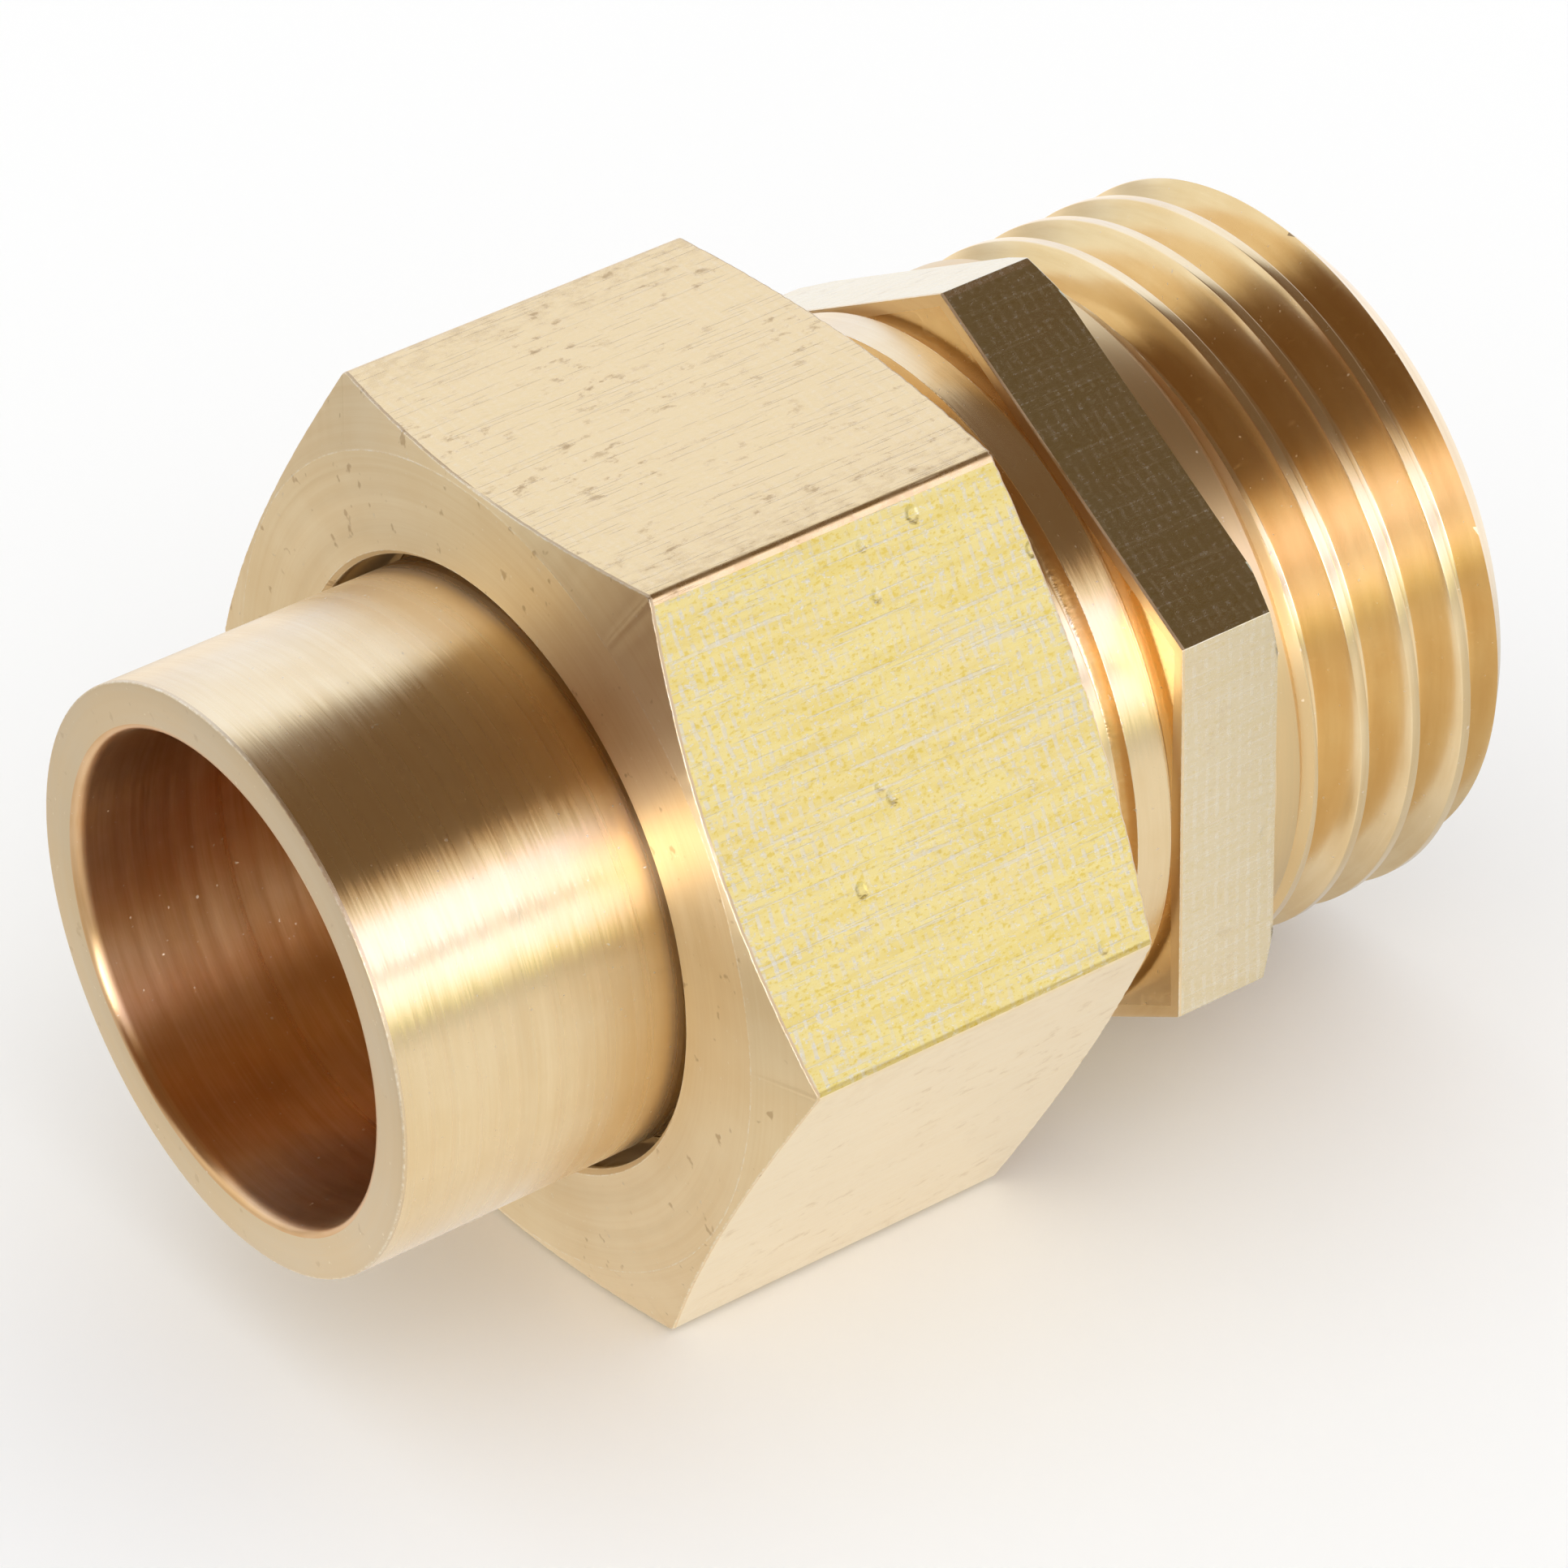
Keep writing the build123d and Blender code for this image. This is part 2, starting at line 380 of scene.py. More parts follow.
def world_vector(g, vector):
    return g.add(
        "ShaderNodeVectorTransform",
        {0: vector},
        vector_type="VECTOR",
        convert_from="OBJECT",
        convert_to="WORLD",
    ).outputs[0]


def metal(name, build):
    """A material whose build function returns the sockets of its brass surface."""
    material = bpy.data.materials.new(name)
    material.use_nodes = True
    g = Graph(material.node_tree)
    sockets = build(g)
    shader = g.add("ShaderNodeBsdfPrincipled", {"Metallic": 1.0, **sockets})
    g.add("ShaderNodeOutputMaterial", {0: shader.outputs[0]})
    return material


BRASS = (0.89, 0.69, 0.40, 1)
BRASS_DEEP = (0.80, 0.56, 0.27, 1)
PAINTED_GLINT_PALE = (0.97, 0.86, 0.66, 1)
# The lit and shaded side colours paint the light and shade that single hexagon sides catch.
BRASS_LIT_LEMON = (0.80, 0.66, 0.23, 1)
BRASS_LIT_PEACH = (0.96, 0.78, 0.49, 1)
BRASS_SHADED_OLIVE = (0.68, 0.62, 0.38, 1)
BRASS_SHADED_HONEY = (0.81, 0.58, 0.28, 1)
BRASS_LIT_WHITE = (0.80, 0.69, 0.47, 1)
BRASS_DARK = (0.74, 0.54, 0.27, 1)
BRASS_SHADED_DULL = (0.78, 0.65, 0.42, 1)
STAIN = (0.42, 0.24, 0.09, 1)
GREYED = (0.76, 0.60, 0.38, 1)
BORE_SHADED_RED = (0.70, 0.40, 0.16, 1)
BORE_SHADED_COPPER = (0.84, 0.55, 0.29, 1)
AXIS = (1.0, 0.0, 0.0)
ARC_SCALE, HAIR_SCALE = 7.0, 19.0  # noise cells per millimetre across the lathe marks


def edge_wear_and_glint(g, place):
    """How worn a rounded edge is, for its bump, and where a painted highlight glints on it, broken
    up here and there.
    """
    wear = g.add("ShaderNodeAttribute", attribute_name="wear").outputs["Fac"]
    grit = g.noise(place, 6.0, 2.0, 0.7)
    return wear, g.math("MULTIPLY", wear, g.ramp(grit, 0.35, 0.7)), grit


def relief(g, height, depth, normal=None):
    """Bump from a height that runs from about 0 to 1, with its depth in millimetres."""
    inputs = {"Strength": 1.0, "Distance": depth * MM, "Height": height}
    if normal is not None:
        inputs["Normal"] = normal
    return g.add("ShaderNodeBump", inputs).outputs[0]


def stretch(g, along, across, x, y, z):
    """Coordinates for a noise that is scaled by along on x and by across on y and z."""
    return g.vector(
        g.math("MULTIPLY", x, along), g.math("MULTIPLY", y, across), g.math("MULTIPLY", z, across)
    )


def turned(
    along_x, roughness, anisotropy, depth, comb, tint=0.5, base=BRASS, deep=BRASS_DEEP, spots=0.0
):
    """Brass turned on a lathe: fine marks round the axis, blurred across them.

    depth is the marks' depth in millimetres, comb how far they spread a reflection round the
    axis, tint how much of the deep colour shows and spots how strong the stain spots are.
    """

    def build(g):
        place, x, y, z, r = part_space(g)
        if along_x:
            across, blur_way = x, g.vector(*AXIS)
            arcs = stretch(g, ARC_SCALE, 0.25, x, y, z)
            hairs = stretch(g, HAIR_SCALE, 0.6, x, y, z)
        else:
            across, blur_way = r, g.vector(0.0, y, z)
            way_y, way_z = g.math("DIVIDE", y, r), g.math("DIVIDE", z, r)
            arcs = g.vector(g.math("MULTIPLY", r, ARC_SCALE), way_y, way_z)
            hairs = g.vector(g.math("MULTIPLY", r, HAIR_SCALE), way_y, way_z)
        fine = g.noise(arcs, 1.0, 3.0, 0.7)
        brushed = g.blend(0.6, fine, g.noise(hairs, 1.0, 1.0, 0.5))
        broad = g.lines(across, 1.6, 2.0)
        patch = g.noise(place, 0.35, 3.0, 0.55)
        wear, glint, grit = edge_wear_and_glint(g, place)
        shade = g.ramp(g.math("ADD", g.math("MULTIPLY", fine, 0.7), patch), 0.55, 1.15)
        colour = g.mix(g.math("MULTIPLY", shade, tint), base, deep)
        if spots:
            spot = g.ramp(g.noise(place, 1.9, 2.0, 0.6), 0.66, 0.74)
            colour = g.mix(g.math("MULTIPLY", spot, spots), colour, STAIN)
        # Painted highlight: rounded edges glint pale here and there.
        colour = g.mix(g.math("MULTIPLY", glint, 0.7), colour, PAINTED_GLINT_PALE)
        # Painted highlight: tiny pale sparkle specks, also a little rougher.
        sparkle = g.ramp(g.noise(place, 6.0, 1.0), 0.74, 0.80)
        colour = g.mix(g.math("MULTIPLY", sparkle, 0.6), colour, PAINTED_GLINT_PALE)
        rough = g.math("ADD", roughness, g.math("MULTIPLY", g.math("SUBTRACT", broad, 0.5), 0.12))
        rough = g.math("ADD", rough, g.math("MULTIPLY", sparkle, 0.25))
        height = g.math("ADD", g.math("MULTIPLY", fine, 0.8), g.math("MULTIPLY", broad, 0.8))
        height = g.math("ADD", height, g.math("MULTIPLY", g.math("MULTIPLY", wear, grit), 6.0))
        ring_way = g.add(
            "ShaderNodeVectorMath",
            {0: g.vector(*AXIS), 1: g.vector(0.0, y, z)},
            operation="CROSS_PRODUCT",
        ).outputs[0]
        ring_way = g.add(
            "ShaderNodeVectorMath", {0: world_vector(g, ring_way)}, operation="NORMALIZE"
        )
        lean = g.add(
            "ShaderNodeVectorMath",
            {0: ring_way.outputs[0], 3: g.math("MULTIPLY", g.math("SUBTRACT", brushed, 0.5), comb)},
            operation="SCALE",
        ).outputs[0]
        facing = g.add("ShaderNodeNewGeometry").outputs["Normal"]
        facing = g.add("ShaderNodeVectorMath", {0: facing, 1: lean}, operation="ADD").outputs[0]
        facing = g.add("ShaderNodeVectorMath", {0: facing}, operation="NORMALIZE").outputs[0]
        return {
            "Base Color": colour,
            "Roughness": rough,
            "Anisotropic": anisotropy,
            "Tangent": world_vector(g, blur_way),
            "Normal": relief(g, height, depth, facing),
        }

    return build


CHATTER_PITCH = 0.38
CHATTER_MIDDLE = -12.6  # the nut's middle, where the chatter is faintest
RIM_R = (12.7, 13.7)  # from here outwards the stains gather towards the corners
CORNER_R = (13.76, 13.79)  # the nut's rounded corners


def steps(colours):
    """Colour band stops that hold each side's colour over its sixth of a turn."""
    return [(i / 6, colour[:3]) for i, colour in enumerate(colours)]


def drawn(first_corner, side_light_tints, settings, roughness, anisotropy, depth):
    """Flats of drawn hexagon bar, counted round from the first corner, each with its own tint,
    which paints the light and shade that side catches.

    A side's setting is its roughness, how stained it is and how strong its chatter marks are, with
    the painted sheen and painted shade specks that go with them.
    """

    def build(g):
        place, x, y, z, r = part_space(g)
        angle = g.math("MULTIPLY", g.math("ARCTAN2", z, y), 180 / math.pi)
        side = g.math("FRACT", g.math("DIVIDE", g.math("ADD", angle, 360 - first_corner), 360))
        # Painted light and shade: each side takes its own tint.
        side_light_tone = g.colours(side, steps(side_light_tints), "CONSTANT")
        setting = g.add(
            "ShaderNodeSeparateColor", {0: g.colours(side, steps(settings), "CONSTANT")}
        )
        rougher, staining, chatter_and_painted_light = setting.outputs

        def stretched(along, across):
            return stretch(g, along, across, x, y, z)

        streaks = g.noise(stretched(0.35, 9.0), 1.0, 3.0, 0.7)
        hair = g.ramp(g.noise(stretched(0.28, 10.0), 1.0, 2.0, 0.6), 0.58, 0.66)
        cloud = g.noise(place, 0.45, 3.0, 0.6)
        wave = g.math("ADD", x, g.math("MULTIPLY", cloud, 0.5))
        wave = g.math("SINE", g.math("MULTIPLY", wave, 2 * math.pi / CHATTER_PITCH))
        ticks = g.ramp(g.noise(stretched(0.6, 4.5), 1.0, 3.0, 0.7), 0.40, 0.58)
        ends = g.ramp(g.math("ABSOLUTE", g.math("ADD", x, -CHATTER_MIDDLE)), 1.5, 5.5, 0.45, 1.0)
        rows = g.math("MULTIPLY", g.math("MULTIPLY", g.ramp(wave, 0.2, 0.9), ticks), ends)
        grain = g.noise(stretched(5.0, 8.0), 1.0, 2.0, 0.7)
        speckle = g.ramp(grain, 0.58, 0.68)
        shade_speck = g.ramp(grain, 0.44, 0.34)
        patch = g.ramp(g.noise(stretched(0.25, 2.4), 1.0, 3.0, 0.65), 0.45, 0.62)
        blot = g.noise(stretched(1.5, 2.5), 1.0, 4.0, 0.65)
        crowd = g.ramp(g.noise(place, 0.42, 1.0), 0.40, 0.62, 0.1, 1.0)
        pit = g.math("MULTIPLY", g.math("MULTIPLY", g.ramp(blot, 0.54, 0.70), crowd), staining)
        rim = g.math("MULTIPLY", g.ramp(r, *RIM_R), g.ramp(blot, 0.42, 0.60))
        pit = g.math("MAXIMUM", pit, g.math("MULTIPLY", rim, g.math("MULTIPLY", staining, 0.3)))
        cell = g.add("ShaderNodeTexVoronoi", {"Vector": stretched(0.62, 0.5), "Scale": 1.0})
        near = g.math("ADD", cell.outputs["Distance"], g.math("MULTIPLY", blot, 0.10))
        keep = g.add("ShaderNodeSeparateColor", {0: cell.outputs["Color"]}).outputs[0]
        dent = g.math("MULTIPLY", g.ramp(near, 0.11, 0.20, 1.0, 0.0), g.ramp(keep, 0.6, 0.62))
        wear, glint, grit = edge_wear_and_glint(g, place)
        shade = g.ramp(g.math("ADD", g.math("MULTIPLY", streaks, 0.6), cloud), 0.6, 1.1)
        colour = g.mix(g.math("MULTIPLY", shade, 0.25), side_light_tone, g.mix(0.5, side_light_tone, BRASS_DEEP))
        # Painted shade: dark grain specks, with richer patches, in a deeper saturated colour.
        richer = g.mix(1.0, side_light_tone, (0.90, 0.82, 0.45, 1), "MULTIPLY")
        shade_specks_and_patches = g.math("ADD", g.math("MULTIPLY", shade_speck, 0.9), g.math("MULTIPLY", patch, 0.35))
        colour = g.mix(g.math("MULTIPLY", shade_specks_and_patches, chatter_and_painted_light), colour, richer)
        # Painted highlight: a pale sheen along chatter rows, grain specks and hair lines.
        sheen = g.math("ADD", g.math("MULTIPLY", rows, 0.8), g.math("MULTIPLY", speckle, 0.9))
        sheen = g.math("ADD", sheen, g.math("MULTIPLY", hair, 0.6))
        sheen = g.math("MULTIPLY", sheen, chatter_and_painted_light)
        colour = g.mix(g.math("MULTIPLY", sheen, 0.75), colour, g.mix(0.7, side_light_tone, (1, 1, 0.92, 1)))
        colour = g.mix(g.math("MULTIPLY", pit, 0.40), colour, STAIN)
        # Painted highlight: rounded edges glint pale here and there.
        colour = g.mix(g.math("MULTIPLY", glint, 0.7), colour, PAINTED_GLINT_PALE)
        ridges = g.math("ADD", g.math("MULTIPLY", rows, 1.2), g.math("MULTIPLY", speckle, 0.6))
        ridges = g.math("SUBTRACT", ridges, g.math("MULTIPLY", dent, 14.0))
        height = g.math("ADD", streaks, g.math("MULTIPLY", hair, 0.8))
        height = g.math("ADD", height, g.math("MULTIPLY", ridges, chatter_and_painted_light))
        height = g.math("SUBTRACT", height, g.math("MULTIPLY", pit, 0.3))
        height = g.math("ADD", height, g.math("MULTIPLY", g.math("MULTIPLY", wear, grit), 4.0))
        across = g.add(
            "ShaderNodeVectorMath",
            {
                0: g.add("ShaderNodeNewGeometry").outputs["True Normal"],
                1: world_vector(g, g.vector(*AXIS)),
            },
            operation="CROSS_PRODUCT",
        ).outputs[0]
        uneven = g.math("MULTIPLY", g.math("SUBTRACT", streaks, 0.5), roughness)
        rough = g.math("ADD", rougher, uneven)
        corner = g.math("MULTIPLY", g.ramp(r, *CORNER_R), chatter_and_painted_light)
        rough = g.math("ADD", rough, g.math("MULTIPLY", corner, 0.3))
        return {
            "Base Color": colour,
            "Roughness": g.math("ADD", rough, g.math("MULTIPLY", g.math("ADD", pit, sheen), 0.2)),
            "Anisotropic": anisotropy,
            "Tangent": across,
            "Normal": relief(g, height, depth),
        }

    return build


# Each nut side's tint paints the light and shade that side catches.
NUT_SIDE_LIGHT_TINTS = [BRASS_SHADED_HONEY, BRASS_SHADED_HONEY, BRASS_LIT_LEMON, BRASS_LIT_PEACH, BRASS, BRASS]
NUT_SETTINGS = [
    (0.26, 0.6, 0.3),
    (0.22, 1.0, 0.10),
    (0.42, 0.15, 1.0),
    (0.30, 0.5, 0.08),
    (0.28, 0.4, 0.4),
    (0.30, 0.4, 0.5),
]
# Each collar side's tint paints the light and shade that side catches.
COLLAR_SIDE_LIGHT_TINTS = [BRASS, BRASS_LIT_WHITE, BRASS_SHADED_OLIVE, BRASS_SHADED_DULL, BRASS, BRASS]
COLLAR_SETTINGS = [
    (0.24, 0.3, 0.3),
    (0.24, 0.3, 0.3),
    (0.18, 0.1, 0.4),
    (0.24, 0.3, 0.3),
    (0.24, 0.3, 0.3),
    (0.24, 0.3, 0.3),
]

tail_side = metal("tail_turned_side", turned(True, 0.27, 0.97, 0.002, 0.10))
tail_face = metal(
    "tail_turned_face", turned(False, 0.42, 0.5, 0.0015, 0.0, 0.4, GREYED, BRASS_DEEP, 0.2)
)
# Painted shade: the bore's brass is a darker, redder copy, on top of the shade its own
# interreflections give.
tail_bore = metal("tail_bored", turned(True, 0.30, 0.84, 0.001, 0.04, 0.9, BORE_SHADED_COPPER, BORE_SHADED_RED))
nut_flat = metal("nut_drawn_flats", drawn(0, NUT_SIDE_LIGHT_TINTS, NUT_SETTINGS, 0.12, 0.5, 0.0035))
nut_face = metal(
    "nut_turned_face", turned(False, 0.47, 0.9, 0.0025, 0.03, 0.5, BRASS, BRASS_DEEP, 0.5)
)
nut_inside = metal("nut_thread", turned(True, 0.30, 0.5, 0.0015, 0.0, 0.8))
collar_flat = metal(
    "collar_drawn_flats", drawn(330, COLLAR_SIDE_LIGHT_TINTS, COLLAR_SETTINGS, 0.10, 0.3, 0.0015)
)
body_side = metal("body_turned_side", turned(True, 0.26, 0.92, 0.002, 0.10))
body_face = metal("body_turned_face", turned(False, 0.36, 0.8, 0.002, 0.03))
body_runout = metal(
    "body_runout", turned(True, 0.36, 0.4, 0.002, 0.05, 0.8, BRASS_DARK, BRASS_DEEP)
)
body_thread = metal("body_thread_cut", turned(True, 0.21, 0.4, 0.0008, 0.03, 0.7))


def fibre(g):
    """Vulcanised fibre: dull brick red with a faint felted grain."""
    place = part_space(g)[0]
    grain = g.noise(place, 9.0, 4.0, 0.65)
    cloud = g.noise(place, 0.8, 3.0)
    colour = g.mix(g.ramp(grain, 0.3, 0.7), (0.22, 0.045, 0.03, 1), (0.42, 0.11, 0.07, 1))
    colour = g.mix(g.math("MULTIPLY", cloud, 0.35), colour, (0.30, 0.12, 0.08, 1))
    bump = g.add("ShaderNodeBump", {"Strength": 1.0, "Distance": 0.02 * MM, "Height": grain})
    return {
        "Base Color": colour,
        "Metallic": 0.0,
        "Roughness": g.ramp(cloud, 0.2, 0.8, 0.62, 0.8),
        "Normal": bump.outputs[0],
    }


washer_fibre = metal("washer_fibre", fibre)

# ---- solder tailpiece -----------------------------------------------------------------------
TAIL_R = 8.5
FLANGE_R = 9.3
FLANGE_X0 = FLANGE_X1 - 2.5
STOP_X = TAIL_X0 + 10.6
STOP_R = 6.25
LEAD_IN = 0.25
# The mouth's lead-in: distance in from the mouth, added radius.
FLARE = [(0.4, 0.0), (0.14, 0.06), (0.04, 0.14), (0.0, LEAD_IN)]
SIDE_START = TAIL_X0 + 4

tail = Skin(np.arange(0, 360, 2.0))
tail.rings(
    rounded([(TAIL_X0 + inward, SOCKET_R + wider) for inward, wider in FLARE], [0] * len(FLARE)),
    2,
)
tail.rings(
    rounded(
        [(TAIL_X0, SOCKET_R + LEAD_IN), (TAIL_X0, TAIL_R), (SIDE_START, TAIL_R)], [0, 0.07, 0]
    )[1:-1],
    1,
)
tail.rings(
    rounded(
        [
            (SIDE_START, TAIL_R),
            (FLANGE_X0, TAIL_R),
            (FLANGE_X0, FLANGE_R),
            (FLANGE_X1, FLANGE_R),
            (FLANGE_X1, FLANGE_R - 1),
        ],
        [0, 0.1, 0.1, 0.1, 0],
    )[1:],
    0,
)
tail.rings(
    rounded(
        [(FLANGE_X1, FLANGE_R - 1), (FLANGE_X1, STOP_R), (FLANGE_X1 - 1, STOP_R)], [0, 0.05, 0]
    )[1:],
    1,
)
tail.rings(
    rounded(
        [
            (FLANGE_X1 - 1, STOP_R),
            (STOP_X, STOP_R),
            (STOP_X, SOCKET_R),
            (TAIL_X0 + FLARE[0][0], SOCKET_R),
        ],
        [0, 0.1, 0.3, 0],
    )[1:-1],
    2,
)
tail.finish(
    "tailpiece_turned",
    [tail_side, tail_face, tail_bore],
    "solder_tailpiece",
    "tail",
    2,
)

# ---- sealing washer -------------------------------------------------------------------------
WASHER_OUTER, WASHER_INNER = 9.2, 6.5
washer = Skin(np.arange(0, 360, 3.0))
middle = (WASHER_OUTER + WASHER_INNER) / 2
washer.rings(
    rounded(
        [
            (WASHER_X0, middle),
            (WASHER_X0, WASHER_OUTER),
            (WASHER_X1, WASHER_OUTER),
            (WASHER_X1, WASHER_INNER),
            (WASHER_X0, WASHER_INNER),
            (WASHER_X0, middle),
        ],
        [0, 0.12, 0.12, 0.12, 0.12, 0],
    )[:-1],
    0,
)
washer.finish("washer_cut_ring", [washer_fibre], "sealing_washer", "washer", 0)

# ---- union nut ------------------------------------------------------------------------------
NUT_CORNER_ROUND = 0.25
NUT_FACE_R = 11.85
NUT_CORNER_R = NUT_FLATS / 2 / math.cos(math.radians(30))
FRONT_BEVEL, REAR_BEVEL = 0.7, 0.55
FRONT_SLOPE = FRONT_BEVEL / (NUT_CORNER_R - NUT_FACE_R)
REAR_SLOPE = REAR_BEVEL / (NUT_CORNER_R - NUT_FACE_R)
FRONT_BURR, REAR_BURR = 0.02, 0.035
EYE_R = 8.86
EYE_BREAK = 0.15
NUT_WALL = 2.45
SHOULDER_X = NUT_X0 + NUT_WALL
NUT_MINOR_R, NUT_ROOT_R = 9.45, 10.6
MOUTH_CHAMFER = 1.2
MOUTH_R = NUT_MINOR_R + MOUTH_CHAMFER
THREAD_PLAY = 0.08
NUT_THREAD_X0 = -13.2
UNION_RIDGE = (-5.4, 155.0)

limit = hexagon(np.zeros(1), NUT_FLATS, 0, NUT_CORNER_ROUND)[1]
nut_angles = fan(0, limit, 72, 6)
hex_r = hexagon(nut_angles, NUT_FLATS, 0, NUT_CORNER_ROUND)[0]
burrs = np.random.default_rng(7)


def burr(size):
    """Small uneven steps along a cut edge, in millimetres."""
    return size * np.clip(burrs.normal(0, 0.5, len(nut_angles)), -1, 1)


front_edge = NUT_X0 + (hex_r - NUT_FACE_R) * FRONT_SLOPE + np.abs(burr(FRONT_BURR))
rear_edge = NUT_X1 - (hex_r - NUT_FACE_R) * REAR_SLOPE - np.abs(burr(REAR_BURR))

nut = Skin(nut_angles)
nut.rings(
    rounded(
        [
            (SHOULDER_X - 0.5, EYE_R),
            (NUT_X0 + EYE_BREAK, EYE_R),
            (NUT_X0, EYE_R + EYE_BREAK),
            (NUT_X0, (EYE_R + NUT_FACE_R) / 2),
            (NUT_X0, NUT_FACE_R),
            (front_edge, hex_r),
            (front_edge + 1, hex_r),
        ],
        [0, 0.05, 0.04, 0, 0.03, 0.05, 0],
    )[:-1],
    1,
)
rear_rings = rounded(
    [
        (rear_edge - 1, hex_r),
        (rear_edge, hex_r),
        (NUT_X1, NUT_FACE_R),
        (NUT_X1, MOUTH_R),
    ],
    [0, 0.05, 0.03, 0],
)
for share in np.linspace(0.1, 0.9, 9):
    nut.rings([(front_edge + (rear_edge - front_edge) * share, hex_r, 0.0)], 0)
nut.rings(rear_rings[1:3], 0)
nut.rings(rear_rings[3:], 1)


def plug_thread():
    """The nut's inside thread: ridges reach in to the minor radius."""
    reach = (NUT_ROOT_R - NUT_MINOR_R) * FLANK_TAN
    ridge_half = PITCH / 2 - CREST_HALF - THREAD_PLAY - (NUT_ROOT_R - CREST_R) * FLANK_TAN - reach
    return thread_profile(NUT_MINOR_R, NUT_ROOT_R, max(ridge_half, 0.05), 0.04, 0.08)


def nut_fade(x):
    """How far outwards the nut's ridges fade where its thread starts."""
    return 1.2 * np.clip((NUT_THREAD_X0 + 1.2 - x) / 0.9, 0, 1)


inside = Thread(plug_thread(), UNION_RIDGE[0] + PITCH / 2, UNION_RIDGE[1], nut_fade)


def nut_limit(x):
    """The smallest radius that the mouth's chamfer leaves of the nut's ridges."""
    return np.minimum(NUT_ROOT_R + 0.5, MOUTH_R - (NUT_X1 - x))


def add_inside(skin, thread, x0, x1, limit, mat):
    """The helix rings of an inside thread, joined from x1 back to x0."""
    other = Skin(skin.angles)
    other.thread(thread, x0, x1, limit, mat)
    offset = skin.count
    index_first = other.first + offset
    index_last = other.last + offset
    skin.x += other.x
    skin.r += [np.minimum(v, NUT_ROOT_R) for v in other.r]
    skin.a += other.a
    skin.wear += other.wear
    skin.faces += [f + offset for f in other.faces]
    skin.mats += other.mats
    skin.count += other.count
    skin.quads(skin.last, np.roll(skin.last, -1), index_last, np.roll(index_last, -1), mat)
    skin.last = index_first


add_inside(nut, inside, NUT_THREAD_X0, NUT_X1, nut_limit, 2)
nut.rings([(SHOULDER_X, NUT_ROOT_R, 0.0), (SHOULDER_X, EYE_R + 0.05, 0.0)], 2)
nut.finish("union_nut_drawn", [nut_flat, nut_face, nut_inside], "union_nut", "nut", 2)

# ---- threaded body --------------------------------------------------------------------------
RELIEF_X0, RELIEF_X1, RELIEF_DEPTH = -5.25, -4.75, 0.55
LAND_X1 = -3.6
NECK_R = 10.1
COLLAR_CORNER_R = COLLAR_FLATS / 2 / math.cos(math.radians(30))
COLLAR_ROUND = 0.06
COLLAR_CHAMFER = 0.3
PLAIN_LAND = 0.88
RUNOUT_X1 = 1.40
RUNOUT_DEPTH = 0.25
END_CHAMFER = 1.1
TIP_CHAMFER = 1.0
BORE_BREAK = 0.3
BELOW_ROOT = 0.2  # end faces stop below the thread's root, so that no flap covers its groove

limit = hexagon(np.zeros(1), COLLAR_FLATS, 30, COLLAR_ROUND)[1]
body_angles = fan(30, limit, 40, 4)
collar_r = hexagon(body_angles, COLLAR_FLATS, 30, COLLAR_ROUND)[0]
outer_profile = thread_profile(CREST_R, ROOT_R, CREST_HALF, 0.03, 0.12)
union_thread = Thread(outer_profile, *UNION_RIDGE, lambda x: 0 * x)
PIPE_RIDGE = (3.0, 139.4)


def pipe_fade(x):
    """How far outwards the pipe thread's grooves fade towards the collar."""
    return 1.2 * np.clip((1.5 - x) / 0.55, 0, 1)


pipe_thread = Thread(outer_profile, *PIPE_RIDGE, pipe_fade)

body = Skin(body_angles)
body.rings(
    rounded(
        [
            (BODY_X0 + 3, WATERWAY_R),
            (BODY_X0 + BORE_BREAK, WATERWAY_R),
            (BODY_X0, WATERWAY_R + BORE_BREAK),
            (BODY_X0, CREST_R - TIP_CHAMFER - BELOW_ROOT),
        ],
        [0, 0.04, 0.04, 0],
    ),
    1,
)
body.thread(
    union_thread,
    BODY_X0,
    RELIEF_X0,
    lambda x: np.minimum(CREST_R, CREST_R - TIP_CHAMFER + x - BODY_X0),
    2,
)
entry_r = union_thread.radius(np.full(body.n, RELIEF_X0), body_angles)
relief_rings = rounded(
    [
        (RELIEF_X0, CREST_R),
        (RELIEF_X0 + 0.12, CREST_R - RELIEF_DEPTH),
        (RELIEF_X1 - 0.12, CREST_R - RELIEF_DEPTH),
        (RELIEF_X1, CREST_R),
        (LAND_X1, CREST_R),
        (LAND_X1 + 0.02, NECK_R),
        (COLLAR_X0, NECK_R),
        (COLLAR_X0, collar_r - 0.4),
    ],
    [0, 0.15, 0.15, 0.03, 0.03, 0.02, 0.02, 0],
)
for i, (x, r, wear) in enumerate(relief_rings[1:], 1):
    body.rings([(x, np.minimum(r, entry_r) if i < 4 else r, wear)], 0)
chamfer_x = np.minimum(0, -COLLAR_CHAMFER + (COLLAR_CORNER_R - collar_r) / 2)
chamfer_r = np.minimum(collar_r, COLLAR_CORNER_R - 2 * COLLAR_CHAMFER)
body.rings(
    rounded(
        [(COLLAR_X0, NECK_R), (COLLAR_X0, collar_r), (COLLAR_X0 + 1.5, collar_r)],
        [0, 0.04, 0],
    )[1:-1],
    1,
)
collar_rings = rounded(
    [(COLLAR_X0 + 1.5, collar_r), (chamfer_x, collar_r), (0, chamfer_r), (0, CREST_R)],
    [0, 0.04, 0.04, 0],
)
body.rings(collar_rings[:-2], 3)
body.rings(collar_rings[-2:-1], 1)
body.rings(rounded([(0, chamfer_r), (0, CREST_R), (0.4, CREST_R)], [0, 0.01, 0])[1:-1], 1)
body.rings([(0.4, CREST_R, 0.0)], 4)


